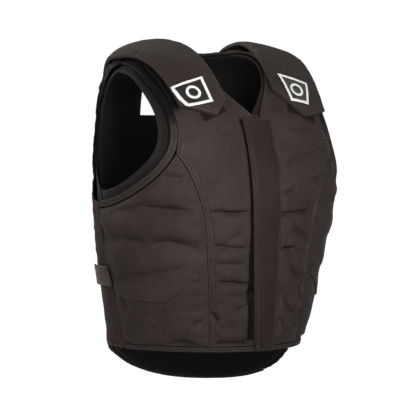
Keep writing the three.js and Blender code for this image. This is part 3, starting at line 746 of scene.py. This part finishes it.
flankFolds = [
    foldAt(1.8, 5, (-55, -206), (-49, -204), (-43, -207)),
    foldAt(3, 6, (-84, -257), (-72, -254), (-64, -247), (-56, -252), (-47, -255), (-39, -251)),
    foldAt(2.4, 7, (-85, -294), (-71, -301), (-62, -305)),
    foldAt(2.9, 6.5, (-64, -310), (-56, -302), (-51, -303), (-44, -308), (-36, -320)),
    foldAt(1.8, 6, (-84, -364), (-71, -357), (-58, -350), (-51, -346), (-39, -333)),
    foldAt(2, 6, (-56, -402), (-67, -426)),
    foldAt(1.8, 4, (-43, -431), (-37, -422)),
    foldAt(2, 5, (-84, -385), (-80, -412)),
    foldAt(2.6, 11, (-60, -456), (-50, -458), (-40, -460), **hemHollow),
]
backFolds = [
    foldAt(2, 6, (130, -215), (160, -224), (185, -222)),
    foldAt(2.2, 6, (228, -262), (200, -268), (176, -264)),
    foldAt(3, 6, (126, -318), (150, -326), (190, -324), (232, -316)),
    foldAt(2.2, 6, (124, -362), (146, -358), (166, -362)),
    foldAt(2.2, 6, (236, -368), (214, -360), (190, -364)),
    foldAt(2, 7, (134, -430), (170, -440), (215, -432)),
]
leftShare = 0.25  # depth of the left flank's folds, as a share of the right flank's


def mirrorFolds(folds, share):
    return [{**fold, "line": [(-turn, height) for turn, height in fold["line"]],
             "depth": fold["depth"] * share} for fold in folds]


# A piece from the copy of its solid to its weave, and then as a pad
def makePiece(name, node, look, folds=()):
    piece = copySolid(node, name)
    subdivide(piece, look.get("levels", 2))
    if "pressure" in look:
        puff(piece, look)
    subdivide(piece, 1, crisp=False)
    dress(piece, look, folds)
    if "channel" in look:
        cutChannel(piece, look["channel"])
    mapWeave(piece, look.get("overShoulder"))
    print(name, len(piece.data.polygons), "faces")
    return piece


def makePad(name, node, pad, folds=()):
    piece = makePiece(name, node, pad, folds)
    place(piece, pad["cloth"], pad["slot"], node)
    return piece


# The open channel beside the free edge of the flap, with a rolled pad edge and its floor painted black as
# shadow (facing: where that paint fades in), in millimetres
channel = {"edge": -32, "fine": ((8, 6), (2.5, 3.5)), "wave": 0.9, "waveSize": 24, "seed": 3.3, "wall": 2.2,
           "depth": 3.3, "under": 0.35, "crest": 1.6, "crestReach": 4.5, "facing": (0.2, 1.4),
           "hidden": (-22, -16), "top": -119, "bottom": -458, "fade": 8}


def cutChannel(piece, cut):
    for before, after in cut["fine"]:
        refine(piece, lambda spot: cut["edge"] - before < spot.x / mm < cut["edge"] + after)
    mesh = piece.data
    points, skin = readPoints(mesh), readMark(mesh, "skin")
    x, _, z = points.T / mm
    wander = np.array([noise.noise((height / cut["waveSize"], cut["seed"], 0)) for height in z])
    past = x - cut["edge"] - cut["wave"] * wander
    beside = smoothStep(z, cut["bottom"], cut["bottom"] + cut["fade"])
    beside *= 1 - smoothStep(z, cut["top"], cut["top"] + cut["fade"])
    drop = cut["depth"] * smoothStep(past, 0, cut["wall"]) * (1 - smoothStep(x, *cut["hidden"]))
    drop -= cut["crest"] * np.exp(-((past + cut["crestReach"]) / cut["crestReach"]) ** 2)
    points[:, 1] += drop * beside * np.maximum(skin, cut["under"] * (drop > 0)) * mm
    writePoints(mesh, points)
    # painted shadow: the channel floor beside the flap is painted near-black
    writeMark(mesh, "tape", np.maximum(readMark(mesh, "tape"), smoothStep(past, *cut["facing"]) * beside))


pads = {}
for side in sides:
    onRight = side == "right"
    chestLook = {**chestPad, "channel": channel} if onRight else slackPad
    sideFolds = flankFolds if onRight else mirrorFolds(flankFolds, leftShare)
    pads["chest", side] = makePad(f"chest_pad_{side}", f"front_centre_{side}", chestLook, chestFolds[side])
    pads["flank", side] = makePad(f"flank_pad_{side}", f"front_side_{side}", flankPad, sideFolds)
pads["back"] = makePad("back_pad", "back_panel", backPad, backFolds)
print("panels padded")


# Foam liner with a bound edge round the armholes and the neck
linerPad = {
    "cloth": linerTricot, "slot": "liner_foam", "fill": 0.9, "levels": 1, "rows": (9,), "groove": (0.6, 1.2),
    "pucker": (0.5, 16, 9), "wrinkle": (0.5, 55), "seed": 2.2, "spread": 3.5, "spreadBelow": (-0.51, -0.49)}
binding = {"width": (7, 8), "height": (-0.28, -0.27)}  # its width in millimetres, its foot in metres


def makeLiner(name, node):
    mesh = makePad(name, node, linerPad).data
    bound = smoothStep(readPoints(mesh)[:, 2], *binding["height"])
    away = readMark(mesh, "edge") * seam["edgeMark"]
    writeMark(mesh, "edge", 1 - bound * (1 - smoothStep(away, *binding["width"])))


for side in sides:
    makeLiner(f"liner_pad_{side}", f"liner_front_{side}")
makeLiner("liner_pad_back", "liner_back")
print("liner made")


# Shoulder straps
strapPad = {
    "cloth": shellNylon, "slot": "shell_nylon", "fill": 0.6, "pressure": 4, "spareCloth": 0.015, "frames": 20,
    "cap": 1.5, "rows": (2.2, 7.5), "groove": (0.5, 1.4), "pucker": (0.6, 14, 10), "wrinkle": (0.5, 45),
    "seed": 6.4, "overShoulder": True}
for side in sides:
    pads["strap", side] = makePad(f"strap_pad_{side}", f"shoulder_strap_{side}", strapPad)
print("straps padded")


# Flat sewn pieces, each with the size that it was cut to, in metres
armholeBand = {
    "cloth": edgeNylon, "slot": "edge_nylon", "cut": (0.015, 0.49), "held": "stretched", "tape": bandPaintedShade,
    "rows": (3,), "groove": (0.5, 0.9), "pucker": (0.7, 9, 8), "wrinkle": (0.2, 20), "seed": 3.1}
hemBand = {**armholeBand, "cut": (0.013, 0.262), "seed": 5.5}
gussetCloth = {
    "cloth": gussetKnit, "slot": "gusset_knit", "cut": (0.058, 0.265), "held": "gathered", "spread": 1.2,
    "rows": (3,), "groove": (0.3, 1.2), "pucker": (1.2, 7, 26), "wrinkle": (0.3, 18), "seed": 9.2}
keeperWeb = {
    "cloth": webbingNylon, "slot": "webbing", "cut": (0.032, 0.085), "held": "stretched",
    "rows": (3,), "groove": (0.3, 0.9), "pucker": (0.3, 9, 6), "wrinkle": (0.2, 20), "seed": 1.9}
tabCloth = {
    "cloth": shellNylon, "slot": "shell_nylon", "cut": (0.035, 0.175), "held": "laid",
    "rows": (2.2, 7.4), "groove": (0.3, 1), "pucker": (0.3, 11, 8), "wrinkle": (0.2, 25), "seed": 2.8,
    "low": 0.1, "high": 0.25, "rise": 1.6, "slope": (0.05, 0.6), "rubbedFrom": 0.5, "sewnFrom": 0.55}
loopField = {
    "cloth": loopPile, "slot": "loop_tape", "cut": (0.048, 0.036), "held": "laid", "low": 0.2, "high": 1.4,
    "rows": (1.8,), "groove": (0.25, 0.8), "pucker": (0.2, 6, 5), "wrinkle": (0.35, 3), "seed": 3.6}
flapCloth = {
    "cloth": flapNylon, "slot": "placket_nylon", "cut": (0.052, 0.355), "held": "hung",
    "rows": (2.2, 7), "groove": (0.4, 1.1), "pucker": (0.8, 26, 12), "wrinkle": (0.35, 40), "seed": 7.7}
labelCloth = {
    "cloth": labelSatin, "slot": "label_satin", "cut": (0.05, 0.046), "held": "hung",
    "rows": (), "pucker": (0.3, 18, 12), "wrinkle": (0.8, 30), "seed": 4.4}
zipTape = {
    "cloth": zipTwill, "slot": "zip_tape", "cut": (0.013, 0.36), "held": "stretched",
    "rows": (2.5,), "groove": (0.2, 0.8), "pucker": (0.2, 12, 4), "wrinkle": (0.1, 20), "seed": 5.1}


def sewFlat(name, node, flat, lay=None, base=None):
    piece = makePiece(name, node, flat)
    if lay:
        lay(piece, base)
    place(piece, flat["cloth"], flat["slot"], node)
    return piece


columnTurn = math.radians(2.5)  # edges within this turn of a point lie above or below it


def dropShare(mesh):  # how far down each point is between the piece's upper and lower edges
    rim, points = rimLoop(mesh), readPoints(mesh)
    rimTurn, turn = (np.arctan2(spots[:, 0], -spots[:, 1]) for spots in (rim, points))
    beside = np.abs(turn[:, None] - rimTurn[None, :]) < columnTurn
    top = np.where(beside, rim[None, :, 2], -np.inf).max(1)
    bottom = np.where(beside, rim[None, :, 2], np.inf).min(1)
    return np.clip((top - points[:, 2]) / np.maximum(top - bottom, mm), 0, 1)


def layTab(tab, base):  # flush along its upper edge, proud along its lower one
    share = dropShare(tab.data)
    high = tabCloth["high"] + tabCloth["rise"] * smoothStep(share, *tabCloth["slope"])
    layOn(tab, skinTree(base), tabCloth["low"], high)
    writeMark(tab.data, "edge", np.where(share > tabCloth["rubbedFrom"], readMark(tab.data, "edge"), 1))


def layField(field, base):
    layOn(field, skinTree(base), loopField["low"], loopField["high"])


flats = {}
for side in sides:
    flats["band", side] = sewFlat(f"armhole_binding_{side}", f"armhole_band_{side}", armholeBand)
    flats["hem", side] = sewFlat(f"hem_binding_{side}", f"hem_band_{side}", hemBand)
    gusset = f"side_gusset_{side}"
    flats["gusset", side] = sewFlat(f"stretch_gusset_{side}", gusset, gussetCloth)
    flats["keeper", side] = sewFlat(f"webbing_keeper_{side}", f"side_keeper_{side}", keeperWeb)
    flats["tab", side] = sewFlat(f"belt_tab_{side}", f"waist_tab_{side}", tabCloth,
                                 layTab, pads["flank", side])
    sewFlat(f"loop_field_{side}", f"loop_patch_{side}", loopField, layField,
            pads["chest", side])
flap = sewFlat("front_flap", "placket", flapCloth)
sewFlat("inside_label", "care_label", labelCloth)
sewFlat("zip_tape_strip", "zip", zipTape)
print("flat pieces sewn")


# Patches on the straps: a white rim and a plain white ring on a black field
badge = {"stepsPerSide": 12, "cornerTurn": math.radians(35), "ring": 12.5, "castFrom": 30, "rows": [
    # share of the outline or ring, height in millimetres, roundness, white from here inwards
    (0.94, 0.1, 0.04, True), (0.97, 0.8, 0.04, True), (0.955, 1.5, 0.04, True), (0.93, 1.7, 0.04, True),
    (0.81, 1.7, 0.04, True), (0.785, 1.1, 0.05, False), (0.75, 1.0, 0.06, False), (1.0, 1.0, 1.0, False),
    (0.97, 1.0, 1.0, True), (0.94, 1.5, 1.0, True), (0.66, 1.5, 1.0, True), (0.62, 1.0, 1.0, False),
    (0.2, 1.0, 1.0, False)]}


def badgeOutline(node):  # even steps round the solid's outer edge, from corner to corner
    solid = copySolid(node, "outline")
    loop = rimLoop(solid.data)
    bpy.data.objects.remove(solid)
    onward, backward = np.roll(loop, -1, 0) - loop, loop - np.roll(loop, 1, 0)
    turns = [Vector(a).angle(Vector(b)) for a, b in zip(onward, backward)]
    corners = [index for index, turn in enumerate(turns) if turn > badge["cornerTurn"]]
    steps = []
    for first, last in zip(corners, corners[1:] + [corners[0] + len(loop)]):
        edge = loop[np.arange(first, last + 1) % len(loop)]
        along = lengthsAlong(edge)
        at = np.arange(badge["stepsPerSide"]) * along[-1] / badge["stepsPerSide"]
        steps.append(pointsAt(at, along, edge))
    return np.vstack(steps)


def makeBadge(side):
    outline = badgeOutline(f"strap_badge_{side}")
    centre = outline.mean(0)
    tree = skinTree(pads["strap", side])
    facing = Vector(tree.find_nearest(Vector(centre))[1])
    across = Vector(outline[0] - centre)
    across = (across - facing * across.dot(facing)).normalized()
    plane = np.array([across, facing.cross(across)])
    flat = (outline - centre) @ plane.T
    if np.cross(flat, np.roll(flat, -1, 0)).sum() < 0:
        flat = flat[::-1]
    circle = flat / np.linalg.norm(flat, axis=1, keepdims=True) * badge["ring"] * mm
    deselectAll()
    bpy.ops.mesh.primitive_circle_add(vertices=len(flat), radius=1, fill_type="NGON", location=(0, 0, 0))
    piece = bpy.context.object
    piece.name = piece.data.name = f"patch_badge_{side}"
    bpy.ops.object.mode_set(mode="EDIT")
    bpy.ops.mesh.select_all(action="SELECT")
    for _ in badge["rows"][1:]:
        bpy.ops.mesh.extrude_region_move(TRANSFORM_OT_translate={"value": (0, 0, 1)})
    bpy.ops.mesh.poke()
    bpy.ops.object.mode_set(mode="OBJECT")
    mesh = piece.data
    rowOf = np.rint(readPoints(mesh)[:, 2]).astype(int)
    for vert, row in zip(mesh.vertices, rowOf):
        share, height, roundness, _ = badge["rows"][row]
        x, y, _ = vert.co
        step = round(math.atan2(y, x) / (2 * math.pi) * len(flat)) % len(flat)
        spread = min(1, math.hypot(x, y) * 2)  # 0 at the centre, where the faces meet
        spot = share * (flat[step] * (1 - roundness) + circle[step] * roundness) * spread
        above = Vector(centre + spot @ plane)
        start = above + facing * badge["castFrom"] * mm
        under = tree.ray_cast(start, -facing)[0] or tree.find_nearest(above)[0]
        vert.co = under + facing * height * mm
    place(piece, badgeWhite, "badge_rubber", f"strap_badge_{side}")
    mesh.materials.append(badgeBlack)
    for face in mesh.polygons:
        row = min(rowOf[vert] for vert in face.vertices)
        face.material_index = 0 if badge["rows"][row][3] else 1
    faceOutwards()


for side in sides:
    makeBadge(side)
print("patches laid")


# Stitch rows, and where they end, in metres
rowEnds = {"flapSide": 0.038, "flapTop": -0.112, "shoulderShadeSide": 0.116, "shoulderShadeFoot": -0.125, "hem": -0.447,
           "bandTop": -0.122, "bindingSide": 0.09, "bindingFoot": -0.236, "curvedSeam": 0.006,
           "flapLevel": 0.01, "flapSewn": -0.012, "flapFree": -0.009}
besideFlap = {"x": 29, "top": -128, "bottom": -456}  # an upright row on the left chest, in millimetres


def onChest(spot):  # not under the flap, on the shade painted black at the shoulder or along the hem
    underFlap = abs(spot.x) < rowEnds["flapSide"] and spot.z < rowEnds["flapTop"]
    inShoulderShade = abs(spot.x) > rowEnds["shoulderShadeSide"] and spot.z > rowEnds["shoulderShadeFoot"]
    return not underFlap and not inShoulderShade and spot.z > rowEnds["hem"]


def onBand(spot):  # below the top of the band, which is painted black as shade
    return spot.z < rowEnds["bandTop"]


def offArmhole(spot):  # not on the black binding of the back
    return abs(spot.x) < rowEnds["bindingSide"] or spot.z < rowEnds["bindingFoot"]


def awayFromCurvedSeam(side):
    tree = treeOf(rimLoop(pads["chest", side].data))
    return lambda spot: tree.find(spot)[2] > rowEnds["curvedSeam"] and spot.z > rowEnds["hem"]


def lowerEdge(tab):  # the lower edge and the point of a tab, where it is sewn down
    share, tree = dropShare(tab.data), treeOf(readPoints(tab.data))
    return lambda spot: share[tree.find(spot)[1]] > tabCloth["sewnFrom"]


def uprightRow(piece, row):  # stitch places straight down the front of a pad
    tree = skinTree(piece)
    hits = [tree.ray_cast(Vector((row["x"] * mm, -1, height * mm)), Vector((0, 1, 0)))
            for height in np.arange(row["top"], row["bottom"], -thread["pitch"])]
    return [(spot, normal, Vector((0, 0, 1))) for spot, normal, _, _ in hits if spot is not None]


flapRim = rimLoop(flap.data)


def pastFlapMiddle(spot):  # distance towards the sewn edge
    beside = np.abs(flapRim[:, 2] - spot.z) < rowEnds["flapLevel"]
    return spot.x - (flapRim[beside, 0].min() + flapRim[beside, 0].max()) / 2


frontRows = [uprightRow(pads["chest", "left"], besideFlap)]
for side in sides:
    frontRows += seamRows(pads["chest", side], chestPad, onChest)
    frontRows += seamRows(pads["flank", side], flankPad, awayFromCurvedSeam(side))
    frontRows += seamRows(flats["band", side], armholeBand, onBand) + seamRows(flats["hem", side], hemBand)
    frontRows += [insetRow(flats["tab", side], tabCloth["rows"][0], lowerEdge(flats["tab", side]))]
sewStitches("front_stitching", frontRows, "shell_nylon")
sewnInset, freeInset = flapCloth["rows"]
flapRows = [insetRow(flap, sewnInset, lambda spot: pastFlapMiddle(spot) > rowEnds["flapSewn"]),
            insetRow(flap, freeInset, lambda spot: pastFlapMiddle(spot) < rowEnds["flapFree"])]
sewStitches("flap_stitching", flapRows, "placket_nylon")
strapRows = [row for side in sides for row in seamRows(pads["strap", side], strapPad)]
sewStitches("strap_stitching", strapRows, "shell_nylon")
backRows = seamRows(pads["back"], backPad, offArmhole)
for kind, look in (("gusset", gussetCloth), ("keeper", keeperWeb)):
    backRows += [row for side in sides for row in seamRows(flats[kind, side], look)]
sewStitches("back_stitching", backRows, "shell_nylon")


# Pale floor that brightens into the distance, white horizon, dimmer dome and soft lights
studio = {"floorDrop": 0.6, "floorReach": 60, "fibre": 400, "near": 2.6, "far": 3.6, "nearGlow": 0.22,
          "farGlow": 1.0, "horizon": 1.05, "dome": 0.06, "horizonEnd": 0.1, "domeStart": 0.2,
          "lights": [{"at": (-0.18, -0.7, -0.07), "size": 0.25, "watts": 5.7},
                     {"at": (-1.1, -0.64, 0.15), "size": 0.4, "watts": 7.5},
                     {"at": (0, 0.6, 1.0), "size": 0.8, "watts": 9},
                     {"at": (0.9, 0, 0.8), "size": 0.6, "watts": 3.5},
                     {"at": (-0.75, 1.2, 0.35), "size": 0.6, "watts": 14}]}


def addStudio(setup):
    deselectAll()
    bpy.ops.mesh.primitive_circle_add(vertices=96, radius=setup["floorReach"], fill_type="NGON",
                                      location=(0, 0, cadBox[0].z - setup["floorDrop"]))
    floor = bpy.context.object
    floor.name = "studio_floor"
    # seamless paper: pale, even, no gloss, with a painted glow, faint near the vest and full white farther
    # off, in place of lamps on the backdrop
    paper = bpy.data.materials.new("matt_white_paper")
    add = startNodes(paper)
    space = add("ShaderNodeTexCoord")
    fibre = add("ShaderNodeTexNoise", {"Scale": noiseScale(setup["fibre"]), "Detail": 2.0},
                {"Vector": (space, "Object")})
    tone = add("ShaderNodeMix", {"data_type": "RGBA", 6: hexColor("#f4f3f2"), 7: hexColor("#f7f6f5")},
               {0: (fibre, "Fac")})
    distance = add("ShaderNodeVectorMath", {"operation": "LENGTH"}, {0: (space, "Object")})
    glow = add("ShaderNodeMapRange", {"From Min": setup["near"], "From Max": setup["far"],
                                      "To Min": setup["nearGlow"], "To Max": setup["farGlow"]},
               {"Value": (distance, "Value")})
    shader = add("ShaderNodeBsdfPrincipled",
                 {"Roughness": 0.9, "Specular IOR Level": 0.1, "Emission Color": (1, 1, 1, 1)},
                 {"Base Color": (tone, 2), "Emission Strength": (glow, "Result")})
    add("ShaderNodeOutputMaterial", None, {"Surface": (shader, "BSDF")})
    floor.data.materials.append(paper)
    world = bpy.data.worlds.new("studio")
    add = startNodes(world)
    sky = add("ShaderNodeTexCoord")
    split = add("ShaderNodeSeparateXYZ", None, {0: (sky, "Generated")})
    climb = add("ShaderNodeMath", {"operation": "ABSOLUTE"}, {0: (split, "Z")})
    strength = add("ShaderNodeMapRange",
                   {"interpolation_type": "SMOOTHSTEP", "From Min": setup["horizonEnd"],
                    "From Max": setup["domeStart"], "To Min": setup["horizon"], "To Max": setup["dome"]},
                   {"Value": (climb, 0)})
    white = add("ShaderNodeBackground", {"Color": (1, 1, 1, 1)}, {"Strength": (strength, "Result")})
    add("ShaderNodeOutputWorld", None, {"Surface": (white, "Background")})
    scene.world = world
    for lamp in setup["lights"]:
        deselectAll()
        bpy.ops.object.light_add(type="AREA", location=lamp["at"])
        light = bpy.context.object
        light.data.size = lamp["size"]
        light.data.energy = lamp["watts"]
        light.visible_camera = False
        aim = Vector((0, 0, photoView["aimZ"] * mm)) - light.location
        light.rotation_euler = aim.to_track_quat("-Z", "Y").to_euler()
    scene.view_settings.view_transform = "Standard"


addStudio(studio)
print("studio lit")
